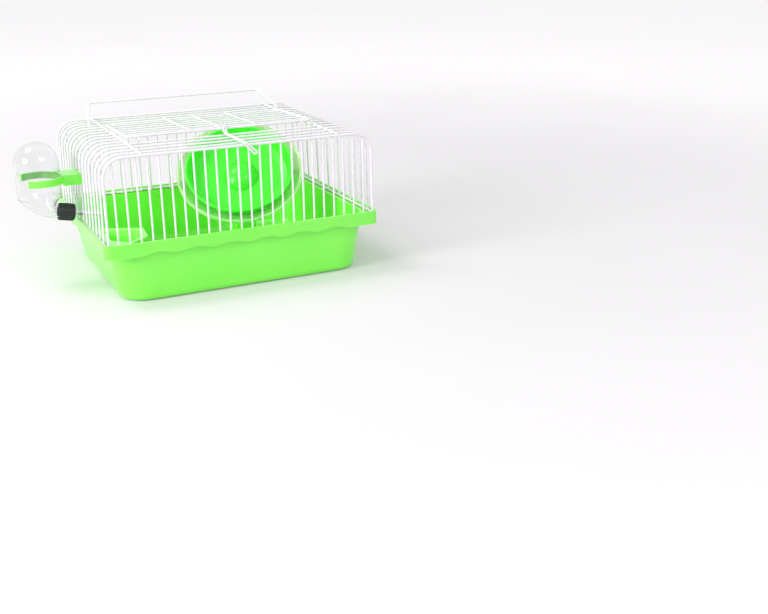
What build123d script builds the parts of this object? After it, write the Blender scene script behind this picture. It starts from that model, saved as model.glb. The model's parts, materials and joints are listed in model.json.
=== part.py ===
"""Small hamster cage: deep plastic tray, white wire top with a lifting door, saucer wheel,
food cup and an outside water bottle.

Units are millimetres. X runs along the cage, Y from front to back, Z up. The origin is the
centre of the tray's underside.
"""
import os
from math import atan2, cos, radians, sin, sqrt

from build123d import *

# ---------------------------------------------------------------- driving dimensions
# Tray
RIM_HALF = (129.6, 102.6)      # outside of the rim, half length and half depth
RIM_CORNER = 7.6
RIM_WALL = 2.0
FLANGE_TOP = 52.8
FLANGE_THICK = 2.0
LIP_TOP = 56.8
SKIRT_LOW = 44.5
SCALLOP_TOP = 47.2
SCALLOP_PITCH = 33.2
SCALLOP_RADIUS = 30.0
TUB_TOP_HALF = (123.0, 98.5)
TUB_BASE_HALF = (113.5, 94.0)
TUB_TOP_CORNER = 27.0
TUB_BASE_CORNER = 24.0
TUB_WALL = 2.2
TUB_EDGE = 6.0

# Wire top
CAGE_HALF = (126.0, 99.0)      # centre line of the frame wire
FRAME_Z = 54.3
FRAME_DIA = 2.4
FRAME_CORNER = 4.0
HOOP_TOP_Z = 131.0
HOOP_BEND = 18.0
HOOP_LEAN = 2.0                # how far the side legs lean in at the top
HOOP_DIA = 1.8
END_HOOP_DIA = 2.4
HOOP_PITCH = 13.2
HOOP_COUNT = 16
END_HOOP_INSET = 1.2           # the end hoops stand on the frame's bent corners
BAR_DIA = 1.7
BAR_PITCH = 10.08
BAR_COUNT = 24
WELD = 0.2                     # how deep one wire sinks into another at a weld
OPENING_HALF_X = 90.5          # side bars of the door opening
OPENING_Y = 46.2               # hoops in front of and behind the opening

# Door
DOOR_HALF_X = 87.8
DOOR_REAR = (44.0, 133.8)      # y, z of the rear wire
DOOR_FRONT = (-43.5, 137.0)    # y, z of the front wire
DOOR_DIA = 2.2
DOOR_BAR_DIA = 1.7
DOOR_CORNER = 5.0
CROSS_BAR_X = (-31.0, -2.6, 31.0)
EYE_RING = 2.3                 # centre line radius of an eye bent round a hoop
LATCH_X = 0.8
LATCH_GAP = 2.0
LATCH_DIA = 1.6

# Carrying handle
HANDLE_DIA = 1.8
HANDLE_HOOP_Y = 72.6
HANDLE_EYE_X = 97.3
HANDLE_RAIL = (89.4, 104.7, 146.1)

# Saucer wheel
WHEEL_CENTRE = (30.5, 5.0, 83.9)
WHEEL_AZIMUTH = 23.2           # how far the wheel's face turns to the left of straight ahead
WHEEL_ELEVATION = 50.8         # how far its axis points up
WHEEL_RIM_RADIUS = 61.8
WHEEL_DISH_RADIUS = 53.0
WHEEL_DISH_LIFT = 5.2
WHEEL_SKIN = 1.5
HUB_RADIUS = 9.0
AXLE_RADIUS = 3.0
AXLE_CLEARANCE = 0.05
STAND_HEAD = (-34.0, -20.6)    # ends of the stand's head, measured along the wheel's axis

# Food cup
CUP_CENTRE = (-104.0, -66.0)   # point the body tapers towards
CUP_LIP_PLAN = ((-123.5, -95.8), (-106.0, -95.8), (-85.8, -78.5), (-82.3, -49.5), (-123.5, -31.5))
CUP_LIP_CORNER = 6.0
CUP_LIP_Z = (53.1, 54.9)
CUP_LIP_WALL = 2.2
CUP_BODY_PLAN = ((-119.3, -78.0), (-104.5, -91.5), (-89.5, -76.5), (-86.5, -52.5), (-119.3, -37.5))
CUP_BODY_CORNER = 5.0
CUP_TAPER = 0.7                # size of the base against the top
CUP_BASE_Z = 27.0
CUP_WALL = 1.6

# Water bottle, outside the left wall
BOTTLE_X = -161.3
BOTTLE_RADIUS = 19.6
BOTTLE_SKIN = 1.2
BOTTLE_LOW_Z = 82.0            # where the straight side starts
BOTTLE_HIGH_Z = 112.5          # where the dome starts
BASE_LEFT = (-170.8, 0.0, 70.6)  # ends of the oval half way down the sloping base
BASE_RIGHT = (-146.0, 0.0, 79.2)
BASE_HALF_WIDTH = 15.5
NECK_START = (-148.4, 0.0, 67.3)
NECK_DROP = 10.5               # how far the neck points down, degrees
NECK_RADIUS = 6.2
NECK_BORE = 4.8
NECK_ROOT = -1.5               # measured along the neck
NECK_END = 11.2
CAP_RADIUS = 7.5
CAP_START = 1.2
CAP_END = 15.5
CAP_RIB_COUNT = 20
SPOUT_RADIUS = 2.3
SPOUT_BORE = 1.5
SPOUT_REACH = 39.5             # from the start of the neck to the tip
SPOUT_MOUTH = 1.35
SPOUT_LIP = 0.3
BALL_RADIUS = 1.6
BALL_BACK = 1.42               # ball's centre behind the tip
STRAP_Z = (95.0, 101.3)
STRAP_INNER = 19.9
STRAP_OUTER = 22.4
STRAP_GAP = (132.0, 238.0)     # where the strap is open, degrees in plan
ARM_X = (-141.0, -124.5)
ARM_Y = (-9.5, 15.5)
ARM_LOW_Z = 92.0
CLIP_NOTCH = 1.3
CLIP_DEPTH = 2.4

os.makedirs("parts", exist_ok=True)


def save(name, *solids):
    """Write one node from its separate solids."""
    shape = solids[0] if len(solids) == 1 else Compound(children=list(solids))
    export_step(shape, os.path.join("parts", name + ".step"))


def rod(start, end, dia):
    """Straight round wire between two points."""
    along = Vector(*end) - Vector(*start)
    return Solid.make_cylinder(dia / 2, along.length, Plane(origin=start, z_dir=along))


def ring(centre, radius, dia):
    """Closed wire eye around a wire that runs along X."""
    return Solid.make_torus(radius, dia / 2, Plane(origin=centre, z_dir=(1, 0, 0)))


def bent_wire(path, dia):
    """Round wire along a path, one solid for each straight or bend."""
    pieces = []
    for edge in path.edges():
        section = Plane(origin=edge @ 0, z_dir=edge % 0) * Circle(dia / 2)
        pieces.append(sweep(section, path=edge).solid())
    return pieces


def rounded(half, corner, z):
    """Rounded rectangle in plan at a height."""
    return Plane.XY.offset(z) * RectangleRounded(2 * half[0], 2 * half[1], corner)


def inset(half, by):
    return (half[0] - by, half[1] - by)


# ---------------------------------------------------------------- tray
def tub(base_z, by):
    """Tapered tub, moved in by a distance all round."""
    share = base_z / FLANGE_TOP
    base = [low + (high - low) * share - by for low, high in zip(TUB_BASE_HALF, TUB_TOP_HALF)]
    corner = TUB_BASE_CORNER + (TUB_TOP_CORNER - TUB_BASE_CORNER) * share - by
    top = rounded(inset(TUB_TOP_HALF, by), TUB_TOP_CORNER - by, FLANGE_TOP)
    shell = loft([rounded(base, corner, base_z), top], ruled=True)
    return fillet(shell.faces().sort_by(Axis.Z)[0].edges(), TUB_EDGE)


rim_inner_corner = RIM_CORNER - RIM_WALL
rim = extrude(rounded(RIM_HALF, RIM_CORNER, SKIRT_LOW), LIP_TOP - SKIRT_LOW)
rim -= extrude(rounded(inset(RIM_HALF, RIM_WALL), rim_inner_corner, SKIRT_LOW), LIP_TOP)
scallop_z = SCALLOP_TOP - SCALLOP_RADIUS
for step in (-2.5, -1.5, -0.5, 0.5, 1.5, 2.5):
    rim -= rod((step * SCALLOP_PITCH, -120, scallop_z), (step * SCALLOP_PITCH, 120, scallop_z),
               2 * SCALLOP_RADIUS)
    rim -= rod((-140, step * SCALLOP_PITCH, scallop_z), (140, step * SCALLOP_PITCH, scallop_z),
               2 * SCALLOP_RADIUS)
flange = extrude(rounded(inset(RIM_HALF, 1), RIM_CORNER - 1, FLANGE_TOP - FLANGE_THICK),
                 FLANGE_THICK)
tray = tub(0, 0) + flange + rim - tub(TUB_WALL, TUB_WALL)
save("tray", tray.solid())

# ---------------------------------------------------------------- wire top
half_x, half_y = CAGE_HALF
frame_path = rounded(CAGE_HALF, FRAME_CORNER, FRAME_Z)
save("base_frame", *bent_wire(frame_path, FRAME_DIA))


def hoop_path(y, foot_z, foot_x=half_x):
    """Centre line of one hoop over the cage, from left foot to right foot."""
    head_x = half_x - HOOP_LEAN
    corners = [(-foot_x, y, foot_z), (-head_x, y, HOOP_TOP_Z), (head_x, y, HOOP_TOP_Z),
               (foot_x, y, foot_z)]
    return FilletPolyline(*corners, radius=HOOP_BEND)


def cut_hoop(y, foot_z):
    """The two sides of a hoop that stops at the door opening."""
    middle = Pos(0, y, HOOP_TOP_Z) * Box(2 * OPENING_HALF_X, 10, 10)
    return [piece - middle if abs(piece.center().X) < 1 else piece
            for piece in bent_wire(hoop_path(y, foot_z), HOOP_DIA)]


def bar_top(x):
    """Height of an end hoop's centre line at x."""
    bend_x = half_x - HOOP_LEAN - HOOP_BEND
    over = max(0.0, abs(x) - bend_x)
    return HOOP_TOP_Z - HOOP_BEND + sqrt(HOOP_BEND ** 2 - over ** 2)


end_x, end_y = half_x - END_HOOP_INSET, half_y - END_HOOP_INSET
save("front_hoop", *bent_wire(hoop_path(-end_y, FRAME_Z, end_x), END_HOOP_DIA))
save("back_hoop", *bent_wire(hoop_path(end_y, FRAME_Z, end_x), END_HOOP_DIA))

foot = FRAME_Z + FRAME_DIA / 2 - WELD
hoops = {"front_top_hoops": [], "back_top_hoops": [], "door_side_hoops": []}
for index in range(1, HOOP_COUNT - 1):
    y = -half_y + index * HOOP_PITCH
    if abs(y) < OPENING_Y - 1:
        for piece in cut_hoop(y, foot):
            hoops["door_side_hoops"] += piece.solids()
    elif y < 0:
        hoops["front_top_hoops"] += bent_wire(hoop_path(y, foot), HOOP_DIA)
    else:
        hoops["back_top_hoops"] += bent_wire(hoop_path(y, foot), HOOP_DIA)
for name, pieces in hoops.items():
    save(name, *pieces)

bar_y = half_y - (FRAME_DIA + BAR_DIA) / 2 + WELD
for name, y in (("front_bars", -bar_y), ("back_bars", bar_y)):
    bars = []
    for index in range(BAR_COUNT):
        x = (index - (BAR_COUNT - 1) / 2) * BAR_PITCH
        bars.append(rod((x, y, FRAME_Z - 0.8), (x, y, bar_top(x) - 0.9), BAR_DIA))
    save(name, *bars)

side_bar_z = HOOP_TOP_Z + (HOOP_DIA + BAR_DIA) / 2 - WELD
save("opening_side_bars",
     *[rod((x, -end_y, side_bar_z), (x, end_y, side_bar_z), BAR_DIA)
       for x in (-OPENING_HALF_X, OPENING_HALF_X)])

# ---------------------------------------------------------------- door
rear = Vector(0, *DOOR_REAR)
front = Vector(0, *DOOR_FRONT)
door_length = (rear - front).length
door_plane = Plane(origin=(rear + front) / 2, x_dir=(1, 0, 0),
                   z_dir=Vector(1, 0, 0).cross(rear - front))
door_path = door_plane * RectangleRounded(2 * DOOR_HALF_X, door_length, DOOR_CORNER)
save("door_frame", *bent_wire(door_path, DOOR_DIA))


def on_door(y):
    """Point on the door's plane above a given y."""
    share = (y - DOOR_FRONT[0]) / (DOOR_REAR[0] - DOOR_FRONT[0])
    return front + (rear - front) * share


door_bars = []
door_reach = DOOR_HALF_X - DOOR_DIA / 2 + WELD
for step in (-2.5, -1.5, -0.5, 0.5, 1.5, 2.5):
    at = on_door(step * HOOP_PITCH)
    door_bars.append(rod((-door_reach, at.Y, at.Z), (door_reach, at.Y, at.Z), DOOR_BAR_DIA))
save("door_bars", *door_bars)

door_drop = door_plane.z_dir * (DOOR_BAR_DIA - WELD)
save("door_cross_bars",
     *[rod(tuple(front + Vector(x, 0, 0) + door_drop), tuple(rear + Vector(x, 0, 0) + door_drop),
           DOOR_BAR_DIA) for x in CROSS_BAR_X])
save("door_feet",
     *[rod((x, DOOR_FRONT[0] - 0.4, DOOR_FRONT[1] - 0.8), (x, -45.4, 133.6), DOOR_BAR_DIA)
       for x in (-78, 78)])
save("door_eyes",
     *[ring((x, OPENING_Y, HOOP_TOP_Z), EYE_RING, HOOP_DIA) for x in (-84, -28, 28, 84)])

# ---------------------------------------------------------------- door latch
latch_eye = 2.5
latch_y, latch_z = DOOR_FRONT
latch_drop = (-48.8, 133.1)    # y, z where the latch reaches the roof
hook_top = (-100.7, 133.4)     # y, z where the latch turns down over the front hoop
hook_end = (LATCH_X + 9.9, 123.4)
latch_points = []
for side in (-1, 1):
    x = LATCH_X + side * LATCH_GAP / 2
    tip = (hook_end[0] + side * 1.1, hook_top[0], hook_end[1] + side * 1.05)
    strand = [(x, latch_y - latch_eye, latch_z + 0.3), (x, *latch_drop), (x, *hook_top), tip]
    latch_points += strand if side < 0 else strand[::-1]
save("latch", *bent_wire(FilletPolyline(*latch_points, radius=1.35), LATCH_DIA))
save("latch_eyes",
     *[ring((LATCH_X + side * LATCH_GAP / 2, latch_y, latch_z), latch_eye, LATCH_DIA)
       for side in (-1, 1)])

# ---------------------------------------------------------------- carrying handle
handle_ring = HOOP_DIA / 2 + 0.3 + HANDLE_DIA / 2
rail_x, rail_y, rail_z = HANDLE_RAIL
lift = atan2(rail_z - HOOP_TOP_Z, rail_y - HANDLE_HOOP_Y)
lift -= sin(handle_ring / (rail_y - HANDLE_HOOP_Y))
leg_y = HANDLE_HOOP_Y - handle_ring * sin(lift)
leg_z = HOOP_TOP_Z + handle_ring * cos(lift)
handle_path = FilletPolyline((-HANDLE_EYE_X, leg_y, leg_z), (-rail_x, rail_y, rail_z),
                             (rail_x, rail_y, rail_z), (HANDLE_EYE_X, leg_y, leg_z), radius=5)
save("handle", *bent_wire(handle_path, HANDLE_DIA))
save("handle_eyes",
     *[ring((x, HANDLE_HOOP_Y, HOOP_TOP_Z), handle_ring, HANDLE_DIA)
       for x in (-HANDLE_EYE_X, HANDLE_EYE_X)])

# ---------------------------------------------------------------- saucer wheel
azimuth, elevation = radians(WHEEL_AZIMUTH), radians(WHEEL_ELEVATION)
wheel_axis = Vector(-sin(azimuth) * cos(elevation), -cos(azimuth) * cos(elevation),
                    sin(elevation))
wheel_plane = Plane(origin=WHEEL_CENTRE, x_dir=wheel_axis.cross(Vector(0, 0, 1)),
                    z_dir=wheel_axis)


def turned(*outline):
    """Solid of revolution about the wheel's axis, from (radius, height) points."""
    face = Plane.XZ * make_face(Polyline(*outline, close=True))
    return wheel_plane * revolve(face, Axis.Z)


def bead(radius, height, thick):
    return wheel_plane * Pos(0, 0, height) * Torus(radius, thick)


saucer = turned((HUB_RADIUS, -12), (44, -12), (WHEEL_RIM_RADIUS - 1.5, 0),
                (WHEEL_RIM_RADIUS - 3.2, 0), (43.4, -12 + WHEEL_SKIN), (HUB_RADIUS, -12 + WHEEL_SKIN))
saucer += bead(WHEEL_RIM_RADIUS - 1.6, 0, 1.6)
save("wheel_saucer", saucer.solid())

lip = WHEEL_DISH_LIFT
dish = turned((HUB_RADIUS, -9), (40, -9), (47, -6), (WHEEL_DISH_RADIUS - 1, lip),
              (WHEEL_DISH_RADIUS - 2.8, lip), (46, -4.6), (39.6, -7.5), (HUB_RADIUS, -7.5))
dish += bead(WHEEL_DISH_RADIUS - 1.5, lip, 1.5)
save("wheel_dish", dish.solid())

bore = AXLE_RADIUS + AXLE_CLEARANCE
save("wheel_hub", turned((bore, -20), (HUB_RADIUS, -20), (HUB_RADIUS, -4.4), (bore, -4.4)).solid())
cap_dome = Solid.make_sphere(20, Plane.XY) - Solid.make_sphere(18.4, Plane.XY)
cap_dome &= Pos(0, 0, 20) * Box(60, 60, 20.6)
cap_dome = wheel_plane * Pos(0, 0, -7.5 - 9.7) * cap_dome
save("wheel_hub_cap", cap_dome.solid())

# ---------------------------------------------------------------- wheel stand
head_low, head_high = STAND_HEAD
save("wheel_axle", turned((0, head_low + 4), (AXLE_RADIUS, head_low + 4), (AXLE_RADIUS, -2.2),
                          (0, -2.2)).solid())
save("wheel_clip", turned((AXLE_RADIUS, -4), (6, -4), (6, -3), (AXLE_RADIUS, -3)).solid())

head_mid = wheel_plane.origin + wheel_axis * (head_low + head_high) / 2
column_base = Pos(head_mid.X, head_mid.Y, TUB_WALL) * Rectangle(24, 20)
column_top = Pos(head_mid.X, head_mid.Y, head_mid.Z) * Rectangle(14, 11)
stand = loft([column_base, column_top], ruled=True)
foot_plate = Pos(head_mid.X, head_mid.Y, TUB_WALL) * RectangleRounded(66, 52, 10)
stand += extrude(foot_plate, 3)
stand += wheel_plane * Pos(0, 0, head_low) * Solid.make_cylinder(10, head_high - head_low)
stand -= wheel_plane * Pos(0, 0, head_low + 4) * Solid.make_cylinder(AXLE_RADIUS, 40)
save("wheel_stand", stand.solid())

# ---------------------------------------------------------------- food cup
def cup_plan(points, corner, share=1.0, by=0.0):
    """Rounded outline in plan, shrunk towards the cup's centre and moved in all round."""
    centre = Vector(*CUP_CENTRE)
    plan = Polygon(*[centre + (Vector(*point) - centre) * share for point in points], align=None)
    plan = fillet(plan.vertices(), corner * share)
    return offset(plan, -by) if by else plan


def cup_shape(base_z, by):
    base = Pos(0, 0, base_z) * cup_plan(CUP_BODY_PLAN, CUP_BODY_CORNER, CUP_TAPER, by)
    top = Pos(0, 0, CUP_LIP_Z[1]) * cup_plan(CUP_BODY_PLAN, CUP_BODY_CORNER, 1.0, by)
    return loft([base, top], ruled=True)


cup = cup_shape(CUP_BASE_Z, 0)
lip_low, lip_high = CUP_LIP_Z
cup += extrude(Pos(0, 0, lip_low) * cup_plan(CUP_LIP_PLAN, CUP_LIP_CORNER), lip_high - lip_low)
lip_wall = cup_plan(CUP_LIP_PLAN, CUP_LIP_CORNER) - cup_plan(CUP_LIP_PLAN, CUP_LIP_CORNER, by=1.4)
cup += extrude(Pos(0, 0, lip_low) * lip_wall, CUP_LIP_WALL)
cup -= cup_shape(CUP_BASE_Z + CUP_WALL, CUP_WALL)
save("food_cup", cup.solid())

# ---------------------------------------------------------------- water bottle
drop = radians(NECK_DROP)
neck_dir = Vector(cos(drop), 0, -sin(drop))
neck_plane = Plane(origin=NECK_START, x_dir=(0, 1, 0), z_dir=neck_dir)


def along_neck(start, end, outer, inner=0.0):
    """Round piece on the neck's axis, between two distances from the start of the neck."""
    piece = Pos(0, 0, start) * Solid.make_cylinder(outer, end - start)
    if inner:
        piece -= Pos(0, 0, start - 1) * Solid.make_cylinder(inner, end - start + 2)
    return neck_plane * piece


def bottle_shape(by):
    """Domed cylinder whose base slopes down to the neck, moved in by a distance all round."""
    side_low = Pos(BOTTLE_X, 0, BOTTLE_LOW_Z) * Circle(BOTTLE_RADIUS - by)
    slope = Vector(*BASE_RIGHT) - Vector(*BASE_LEFT)
    middle = Plane(origin=(Vector(*BASE_LEFT) + Vector(*BASE_RIGHT)) / 2, x_dir=(0, 1, 0),
                   z_dir=slope.cross(Vector(0, 1, 0)))
    half_way = middle * Ellipse(BASE_HALF_WIDTH - by, slope.length / 2 - by)
    neck_root = neck_plane * Pos(0, 0, NECK_ROOT) * Circle(NECK_RADIUS - by)
    base = loft([side_low, half_way, neck_root])
    side = Solid.make_cylinder(BOTTLE_RADIUS - by, BOTTLE_HIGH_Z - BOTTLE_LOW_Z,
                               Plane(origin=(BOTTLE_X, 0, BOTTLE_LOW_Z)))
    dome = Solid.make_sphere(BOTTLE_RADIUS - by, Plane(origin=(BOTTLE_X, 0, BOTTLE_HIGH_Z)))
    return base + side + dome


bottle = bottle_shape(0) + along_neck(NECK_ROOT, NECK_END, NECK_RADIUS)
bottle -= bottle_shape(BOTTLE_SKIN) + along_neck(NECK_ROOT - 1, NECK_END + 1, NECK_BORE)
save("bottle", bottle.solid())

save("bottle_seal", along_neck(NECK_END, NECK_END + 1.2, NECK_RADIUS, SPOUT_BORE).solid())

spout_start = NECK_END + 1.3
cap = along_neck(CAP_START, CAP_END, CAP_RADIUS)
cap -= along_neck(-1, spout_start + 1.0, NECK_RADIUS + 0.3)
cap -= along_neck(0, 30, SPOUT_RADIUS)
rib = Pos(CAP_RADIUS, 0, CAP_START + 1) * Solid.make_cylinder(0.55, CAP_END - CAP_START - 2)
for index in range(CAP_RIB_COUNT):
    cap += neck_plane * Rot(0, 0, index * 360 / CAP_RIB_COUNT) * rib
save("bottle_cap", cap.solid())

tube = along_neck(spout_start, SPOUT_REACH, SPOUT_RADIUS, SPOUT_BORE)
tube += along_neck(spout_start, spout_start + 1.0, NECK_RADIUS - 0.2, SPOUT_BORE)
tube -= along_neck(SPOUT_REACH - 4.6, SPOUT_REACH - SPOUT_LIP, 1.9)
tube -= along_neck(SPOUT_REACH - 1.0, SPOUT_REACH + 1, SPOUT_MOUTH)
save("spout", tube.solid())
ball_at = neck_plane.origin + neck_dir * (SPOUT_REACH - BALL_BACK)
save("spout_ball", Solid.make_sphere(BALL_RADIUS, Plane(origin=ball_at)))

# ---------------------------------------------------------------- bottle holder
strap_low, strap_high = STRAP_Z
strap_tall = strap_high - strap_low
gap_mid = sum(STRAP_GAP) / 2
gap_half = (STRAP_GAP[1] - STRAP_GAP[0]) / 2
reach = STRAP_OUTER + 6
wedge = make_face(Polyline((0, 0),
                           (reach * cos(radians(gap_mid - gap_half)),
                            reach * sin(radians(gap_mid - gap_half))),
                           (1.3 * reach * cos(radians(gap_mid)), 1.3 * reach * sin(radians(gap_mid))),
                           (reach * cos(radians(gap_mid + gap_half)),
                            reach * sin(radians(gap_mid + gap_half))), close=True))
strap_plan = Circle(STRAP_OUTER) - Circle(STRAP_INNER) - wedge
strap = Pos(BOTTLE_X, 0, strap_low) * extrude(strap_plan, strap_tall)
arm_plan = Rectangle(ARM_X[1] - ARM_X[0], ARM_Y[1] - ARM_Y[0])
arm = Pos(sum(ARM_X) / 2, sum(ARM_Y) / 2, ARM_LOW_Z) * extrude(arm_plan, strap_high - ARM_LOW_Z)
arm -= Pos(BOTTLE_X, 0, ARM_LOW_Z - 1) * extrude(Circle(STRAP_INNER), strap_tall + 10)
strap += arm
for y in (-HOOP_PITCH / 2, HOOP_PITCH / 2):
    strap -= Pos(ARM_X[1], y, strap_low) * Box(2 * CLIP_DEPTH, 2 * CLIP_NOTCH, 30)
save("bottle_holder", strap.solid())
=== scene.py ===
"""Looks of the hamster cage: plastics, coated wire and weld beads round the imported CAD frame.

Lengths are metres in the CAD's own frame: X along the cage, Y from front to back, Z up.
"""
import json
import math

import bmesh
import bpy
from mathutils import Matrix, Vector


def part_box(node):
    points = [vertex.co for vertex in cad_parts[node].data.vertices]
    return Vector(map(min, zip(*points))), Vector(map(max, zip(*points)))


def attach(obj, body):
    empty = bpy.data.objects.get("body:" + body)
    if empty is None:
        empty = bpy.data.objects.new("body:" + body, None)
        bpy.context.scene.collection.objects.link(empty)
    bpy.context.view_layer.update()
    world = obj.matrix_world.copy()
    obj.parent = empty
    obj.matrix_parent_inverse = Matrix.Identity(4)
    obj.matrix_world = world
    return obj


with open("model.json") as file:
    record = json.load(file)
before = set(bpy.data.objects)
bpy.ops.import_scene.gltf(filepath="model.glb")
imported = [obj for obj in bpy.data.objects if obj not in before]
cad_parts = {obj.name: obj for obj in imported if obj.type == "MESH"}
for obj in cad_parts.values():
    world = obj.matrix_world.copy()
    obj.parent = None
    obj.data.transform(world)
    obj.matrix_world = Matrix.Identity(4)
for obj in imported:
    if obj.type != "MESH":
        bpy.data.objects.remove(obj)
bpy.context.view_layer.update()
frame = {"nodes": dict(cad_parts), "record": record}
nodes = frame["nodes"]

# ------------------------------------------------------------------ camera
CAMERA_AT = Vector((-0.3052, -0.9851, 0.3177))
CAMERA_AZIMUTH = math.radians(-26.45)    # to the left of straight in front
CAMERA_ELEVATION = math.radians(20.0)
CAMERA_ROLL = math.radians(-0.51)
CAMERA_LENS = 50.24
CAMERA_SENSOR = 36

back = Vector((math.sin(CAMERA_AZIMUTH) * math.cos(CAMERA_ELEVATION),
               -math.cos(CAMERA_AZIMUTH) * math.cos(CAMERA_ELEVATION),
               math.sin(CAMERA_ELEVATION)))
right = (-back).cross(Vector((0, 0, 1))).normalized()
up = right.cross(-back)
roll_right = math.cos(CAMERA_ROLL) * right + math.sin(CAMERA_ROLL) * up
roll_up = -math.sin(CAMERA_ROLL) * right + math.cos(CAMERA_ROLL) * up
camera = bpy.data.objects.new("camera", bpy.data.cameras.new("camera"))
bpy.context.scene.collection.objects.link(camera)
camera.matrix_world = Matrix((
    (roll_right.x, roll_up.x, back.x, CAMERA_AT.x),
    (roll_right.y, roll_up.y, back.y, CAMERA_AT.y),
    (roll_right.z, roll_up.z, back.z, CAMERA_AT.z),
    (0, 0, 0, 1)))
camera.data.lens = CAMERA_LENS
camera.data.sensor_width = CAMERA_SENSOR
camera.data.clip_start = 0.01
camera.data.clip_end = 60
bpy.context.scene.camera = camera

# ------------------------------------------------------------------ colours
# Each pair is the darker and the lighter end of a faint mottle.
BODY_GREEN = ((0.21, 0.945, 0.065), (0.25, 0.985, 0.085))
WHEEL_GREEN = ((0.055, 0.86, 0.025), (0.08, 0.93, 0.035))
CLEAR = ((0.945, 0.94, 0.95), (0.965, 0.96, 0.97))
MILKY_GREEN = ((0.66, 0.98, 0.50), (0.72, 0.99, 0.56))
COATING_WHITE = ((0.80, 0.735, 0.825), (0.87, 0.81, 0.89))
CAP_BLACK = ((0.012, 0.012, 0.014), (0.03, 0.03, 0.033))
SEAL_BLACK = ((0.03, 0.03, 0.03), (0.06, 0.06, 0.06))
STEEL_GREY = ((0.50, 0.50, 0.51), (0.66, 0.66, 0.66))
FLOOR_WHITE = ((0.69, 0.675, 0.69), (0.71, 0.695, 0.71))
FLOOR_GLOW = (1, 0.985, 1, 1)
SKY_SEEN = (0.965, 0.965, 0.975, 1)
SKY_LIGHT = (1, 1, 1, 1)

MOTTLE_ENDS = (0.3, 0.7)       # noise values at which a mottle reaches its two colours


# ------------------------------------------------------------------ materials
def new_material(name):
    """Empty node material and its principled shader."""
    material = bpy.data.materials.new(name)
    material.use_nodes = True
    tree = material.node_tree
    tree.nodes.clear()
    output = tree.nodes.new("ShaderNodeOutputMaterial")
    shader = tree.nodes.new("ShaderNodeBsdfPrincipled")
    tree.links.new(shader.outputs["BSDF"], output.inputs["Surface"])
    return material, tree, shader


def noise(tree, scale, detail, rough=0.5, stretch=(1, 1, 1)):
    """Noise in the object's own space; scale counts the blobs in a metre."""
    place = tree.nodes.new("ShaderNodeTexCoord")
    mapping = tree.nodes.new("ShaderNodeMapping")
    mapping.inputs["Scale"].default_value = stretch
    texture = tree.nodes.new("ShaderNodeTexNoise")
    texture.inputs["Scale"].default_value = scale
    texture.inputs["Detail"].default_value = detail
    texture.inputs["Roughness"].default_value = rough
    tree.links.new(place.outputs["Object"], mapping.inputs["Vector"])
    tree.links.new(mapping.outputs["Vector"], texture.inputs["Vector"])
    return texture.outputs["Fac"]


def mottle(tree, shader, value, colours):
    """Base colour that follows a value from the darker to the lighter colour."""
    node = tree.nodes.new("ShaderNodeValToRGB")
    for element, at, colour in zip(node.color_ramp.elements, MOTTLE_ENDS, colours):
        element.position = at
        element.color = (*colour, 1)
    tree.links.new(value, node.inputs["Fac"])
    tree.links.new(node.outputs["Color"], shader.inputs["Base Color"])


def uneven_gloss(tree, shader, value, low, high):
    """Roughness that follows a value between two limits."""
    node = tree.nodes.new("ShaderNodeMapRange")
    node.inputs["To Min"].default_value = low
    node.inputs["To Max"].default_value = high
    tree.links.new(value, node.inputs["Value"])
    tree.links.new(node.outputs["Result"], shader.inputs["Roughness"])


def bump(tree, shader, value, strength, distance):
    """Shallow relief; distance is its height in metres."""
    node = tree.nodes.new("ShaderNodeBump")
    node.inputs["Strength"].default_value = strength
    node.inputs["Distance"].default_value = distance
    tree.links.new(value, node.inputs["Height"])
    tree.links.new(node.outputs["Normal"], shader.inputs["Normal"])


def moulded_green(name, colours, ior, coat):
    """Saturated moulded plastic that lets some light in, glossy with a faint flow mark."""
    material, tree, shader = new_material(name)
    flow = noise(tree, 9, 4, 0.55, (1, 1, 2.5))
    mottle(tree, shader, flow, colours)
    fine = noise(tree, 900, 2)
    uneven_gloss(tree, shader, fine, 0.24, 0.36)
    bump(tree, shader, fine, 0.08, 0.0002)
    shader.inputs["IOR"].default_value = ior
    shader.inputs["Coat Weight"].default_value = coat
    shader.inputs["Coat Roughness"].default_value = 0.22
    shader.inputs["Subsurface Weight"].default_value = 0.4
    shader.inputs["Subsurface Radius"].default_value = (0.5, 1.0, 0.3)
    shader.inputs["Subsurface Scale"].default_value = 0.006
    return material


def clear_plastic(name, colours, clear, rough):
    """Moulded polystyrene with faint waves; clear is the share that isn't milky."""
    material, tree, shader = new_material(name)
    waves = noise(tree, 60, 2)
    mottle(tree, shader, waves, colours)
    uneven_gloss(tree, shader, waves, rough, 3 * rough)
    bump(tree, shader, waves, 0.05, 0.001)
    shader.inputs["Transmission Weight"].default_value = clear
    shader.inputs["IOR"].default_value = 1.45
    return material


def coated_wire():
    """White plastic coating on wire, with slight thick and thin places."""
    material, tree, shader = new_material("white_wire")
    dip = noise(tree, 140, 3)
    mottle(tree, shader, dip, COATING_WHITE)
    uneven_gloss(tree, shader, dip, 0.22, 0.36)
    bump(tree, shader, dip, 0.15, 0.0004)
    shader.inputs["IOR"].default_value = 1.5
    return material


def black_plastic():
    """Moulded black plastic with a fine grain."""
    material, tree, shader = new_material("black_plastic")
    grain = noise(tree, 700, 3)
    mottle(tree, shader, grain, CAP_BLACK)
    uneven_gloss(tree, shader, grain, 0.28, 0.45)
    bump(tree, shader, grain, 0.15, 0.0002)
    return material


def soft_rubber():
    """Dull black rubber."""
    material, tree, shader = new_material("seal_rubber")
    grain = noise(tree, 500, 3)
    mottle(tree, shader, grain, SEAL_BLACK)
    uneven_gloss(tree, shader, grain, 0.6, 0.8)
    return material


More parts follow.
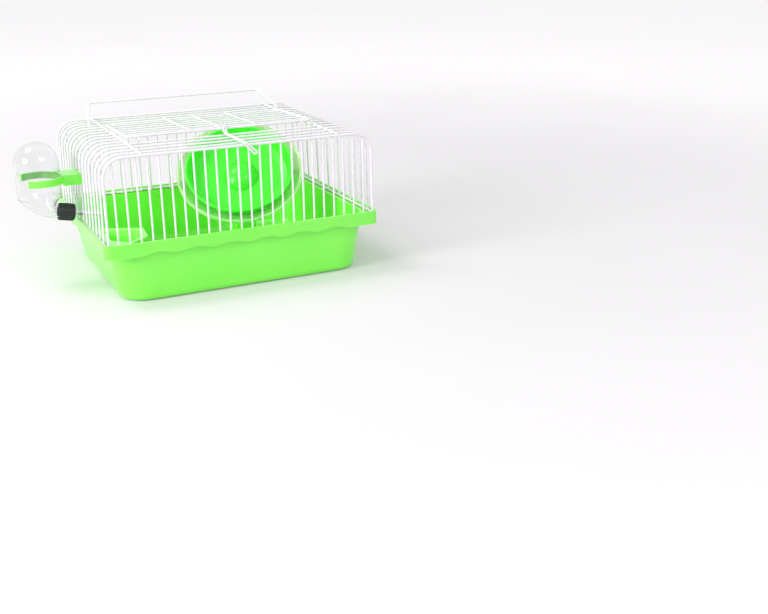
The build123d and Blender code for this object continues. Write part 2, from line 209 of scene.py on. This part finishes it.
def steel(name, low, high):
    """Bright steel with fine draw lines; low and high limit its roughness."""
    material, tree, shader = new_material(name)
    lines = noise(tree, 260, 3, 0.6, (0.15, 1, 1))
    mottle(tree, shader, lines, STEEL_GREY)
    uneven_gloss(tree, shader, lines, low, high)
    shader.inputs["Metallic"].default_value = 1.0
    return material


materials = {
    "green_plastic": moulded_green("green_plastic", BODY_GREEN, 1.6, 0.5),
    "clear_plastic": clear_plastic("clear_plastic", CLEAR, 1.0, 0.03),
    "white_wire": coated_wire(),
    "black_plastic": black_plastic(),
    "seal_rubber": soft_rubber(),
    "spout_steel": steel("spout_steel", 0.12, 0.22),
    "axle_steel": steel("axle_steel", 0.2, 0.34),
}
wheel_green = moulded_green("wheel_green", WHEEL_GREEN, 1.42, 0.15)
special = {
    "wheel_dish": wheel_green,
    "wheel_hub": wheel_green,
    "wheel_hub_cap": wheel_green,
    "wheel_saucer": clear_plastic("milky_plastic", MILKY_GREEN, 0.7, 0.04),
}
for part in frame["record"]["subparts"]:
    node = nodes[part["node"]]
    if not node.material_slots:
        node.data.materials.append(None)
    for place in node.material_slots:
        place.link = "OBJECT"
        place.material = special.get(part["node"], materials[part["material_slot"]])

# ------------------------------------------------------------------ weld beads
SIDES = (-1, 1)
HOOP_COUNT = 16                # both end hoops included
HOOP_BEND = 0.018              # centre line radius of a hoop's top corners
HOOP_LEAN = 0.002              # how far a hoop's side legs lean in at the top
BAR_COUNT = 24                 # on the front, and again on the back
DOOR_BAR_COUNT = 6
DOOR_BAR_DIA = 0.0017
CROSS_BAR_X = (-0.031, -0.0026, 0.031)

# Half sizes of the beads along X, Y and Z
BAR_FOOT_BEAD = (0.0013, 0.0010, 0.0012)
BAR_HEAD_BEAD = (0.00115, 0.0012, 0.0009)
HOOP_FOOT_BEAD = (0.0013, 0.0013, 0.0008)
CROSSING_BEAD = (0.0012, 0.0012, 0.0006)


def row(low, high, count):
    """Evenly spaced numbers from low to high."""
    return [low + (high - low) * index / (count - 1) for index in range(count)]


def weld_beads(name, body, half, places):
    """Coating pooled round the welds: a small rounded bead at each place."""
    shape = bmesh.new()
    for place in places:
        made = bmesh.ops.create_icosphere(shape, subdivisions=2, radius=1.0)
        bmesh.ops.scale(shape, vec=half, verts=made["verts"])
        bmesh.ops.translate(shape, vec=place, verts=made["verts"])
    for face in shape.faces:
        face.smooth = True
    mesh = bpy.data.meshes.new(name)
    shape.to_mesh(mesh)
    shape.free()
    mesh.materials.append(materials["white_wire"])
    piece = bpy.data.objects.new(name, mesh)
    bpy.context.scene.collection.objects.link(piece)
    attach(piece, body)


# Base frame: radius and centre line of its wire
frame_low, frame_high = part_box("base_frame")
frame_r = (frame_high.z - frame_low.z) / 2
frame_z = (frame_high.z + frame_low.z) / 2
frame_x = frame_high.x - frame_r
frame_y = frame_high.y - frame_r
hoop_ys = row(-frame_y, frame_y, HOOP_COUNT)[1:-1]

# Upright bars and the end hoop that they reach up to
bars_low, bars_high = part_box("back_bars")
bar_r = (bars_high.y - bars_low.y) / 2
bar_y = (bars_high.y + bars_low.y) / 2
bar_xs = row(bars_low.x + bar_r, bars_high.x - bar_r, BAR_COUNT)
end_low, end_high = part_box("back_hoop")
end_r = (end_high.y - end_low.y) / 2
end_y = (end_high.y + end_low.y) / 2
roof_z = end_high.z - end_r
bend_x = frame_x - HOOP_LEAN - HOOP_BEND


def under_end_hoop(x):
    """Height of an end hoop's underside at x."""
    over = max(0.0, abs(x) - bend_x)
    return roof_z - HOOP_BEND + math.sqrt(HOOP_BEND ** 2 - over ** 2) - end_r


weld_beads("foot_welds", "wire_top", BAR_FOOT_BEAD,
           [(x, side * (bar_y + bar_r), frame_z) for side in SIDES for x in bar_xs])
weld_beads("head_welds", "wire_top", BAR_HEAD_BEAD,
           [(x, side * (bar_y + end_y) / 2, under_end_hoop(x))
            for side in SIDES for x in bar_xs])
weld_beads("hoop_foot_welds", "wire_top", HOOP_FOOT_BEAD,
           [(side * frame_x, y, frame_z + frame_r) for side in SIDES for y in hoop_ys])

# Side bars of the door opening, which lie on the hoops
side_low, side_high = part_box("opening_side_bars")
side_x = side_high.x - (side_high.z - side_low.z) / 2
weld_beads("opening_welds", "wire_top", CROSSING_BEAD,
           [(side * side_x, y, side_low.z) for side in SIDES for y in hoop_ys])

# Door bars, which lie on the cross bars in a row that slopes down to the rear
door_low, door_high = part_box("door_bars")
door_r = DOOR_BAR_DIA / 2
door_slope = (door_high.z - door_low.z - 2 * door_r) / (door_high.y - door_low.y - 2 * door_r)
places = []
for y in row(door_low.y + door_r, door_high.y - door_r, DOOR_BAR_COUNT):
    middle_z = door_high.z - door_r - door_slope * (y - door_low.y - door_r)
    places += [(x, y, middle_z - door_r) for x in CROSS_BAR_X]
weld_beads("door_welds", "door", CROSSING_BEAD, places)

# ------------------------------------------------------------------ floor
FLOOR_HALF = 15.0
# The floor glows for camera, glossy and transmission rays only, so that it fades into the sky
# but adds nothing to the bounced light. The glow grows between two distances from the cage.
GLOW_NEAR, GLOW_FAR = 0.06, 0.4
GLOW_FROM, GLOW_TO = 0.2, 1.6


def combine(tree, operation, first, second):
    """Result of a math node with two inputs."""
    node = tree.nodes.new("ShaderNodeMath")
    node.operation = operation
    tree.links.new(first, node.inputs[0])
    tree.links.new(second, node.inputs[1])
    return node.outputs[0]


def seen_directly(tree):
    """One for camera, glossy and transmission rays, zero for the light that bounces."""
    path = tree.nodes.new("ShaderNodeLightPath")
    either = path.outputs["Is Camera Ray"]
    for name in ("Is Glossy Ray", "Is Transmission Ray"):
        either = combine(tree, "MAXIMUM", either, path.outputs[name])
    return either


def floor_material():
    """Matt white studio floor."""
    material, tree, shader = new_material("floor")
    mottle(tree, shader, noise(tree, 3, 2), FLOOR_WHITE)
    shader.inputs["Roughness"].default_value = 0.8
    shader.inputs["Specular IOR Level"].default_value = 0.1
    shader.inputs["Emission Color"].default_value = FLOOR_GLOW
    place = tree.nodes.new("ShaderNodeTexCoord")
    away = tree.nodes.new("ShaderNodeVectorMath")
    away.operation = "LENGTH"
    tree.links.new(place.outputs["Object"], away.inputs[0])
    grow = tree.nodes.new("ShaderNodeMapRange")
    grow.interpolation_type = "SMOOTHSTEP"
    grow.inputs["From Min"].default_value = GLOW_FROM
    grow.inputs["From Max"].default_value = GLOW_TO
    grow.inputs["To Min"].default_value = GLOW_NEAR
    grow.inputs["To Max"].default_value = GLOW_FAR
    tree.links.new(away.outputs["Value"], grow.inputs["Value"])
    glow = combine(tree, "MULTIPLY", seen_directly(tree), grow.outputs["Result"])
    tree.links.new(glow, shader.inputs["Emission Strength"])
    return material


floor_mesh = bpy.data.meshes.new("floor")
floor_mesh.from_pydata([(x * FLOOR_HALF, y * FLOOR_HALF, 0)
                        for x, y in ((-1, -1), (1, -1), (1, 1), (-1, 1))],
                       [], [(0, 1, 2, 3)])
floor = bpy.data.objects.new("floor", floor_mesh)
floor.data.materials.append(floor_material())
bpy.context.scene.collection.objects.link(floor)

# ------------------------------------------------------------------ light
AMBIENT = 0.72
CAGE_MIDDLE = (0, 0, 0.06)
CAGE_LEFT = (-0.1, 0, 0.05)


def area_light(name, at, aim, side, watts):
    """Square lamp that faces a point."""
    data = bpy.data.lights.new(name, "AREA")
    data.shape = "SQUARE"
    data.size = side
    data.energy = watts
    light = bpy.data.objects.new(name, data)
    light.location = at
    light.rotation_euler = (Vector(aim) - Vector(at)).to_track_quat("-Z", "Y").to_euler()
    bpy.context.scene.collection.objects.link(light)


def light_sky():
    """Even white light all round, with its own brightness where it's seen directly."""
    world = bpy.data.worlds.new("world")
    bpy.context.scene.world = world
    world.use_nodes = True
    tree = world.node_tree
    tree.nodes.clear()
    output = tree.nodes.new("ShaderNodeOutputWorld")
    seen = tree.nodes.new("ShaderNodeBackground")
    seen.inputs["Color"].default_value = SKY_SEEN
    lit = tree.nodes.new("ShaderNodeBackground")
    lit.inputs["Color"].default_value = SKY_LIGHT
    lit.inputs["Strength"].default_value = AMBIENT
    mix = tree.nodes.new("ShaderNodeMixShader")
    tree.links.new(seen_directly(tree), mix.inputs["Fac"])
    tree.links.new(lit.outputs[0], mix.inputs[1])
    tree.links.new(seen.outputs[0], mix.inputs[2])
    tree.links.new(mix.outputs[0], output.inputs["Surface"])


area_light("key", (-0.7, 0.35, 1.45), CAGE_MIDDLE, 0.6, 8.5)
area_light("left", (-1.25, -0.35, 0.55), CAGE_LEFT, 0.5, 12)
area_light("front", (0.35, -1.1, 0.95), CAGE_MIDDLE, 0.6, 3.5)
light_sky()

bpy.context.scene.view_settings.view_transform = "Standard"
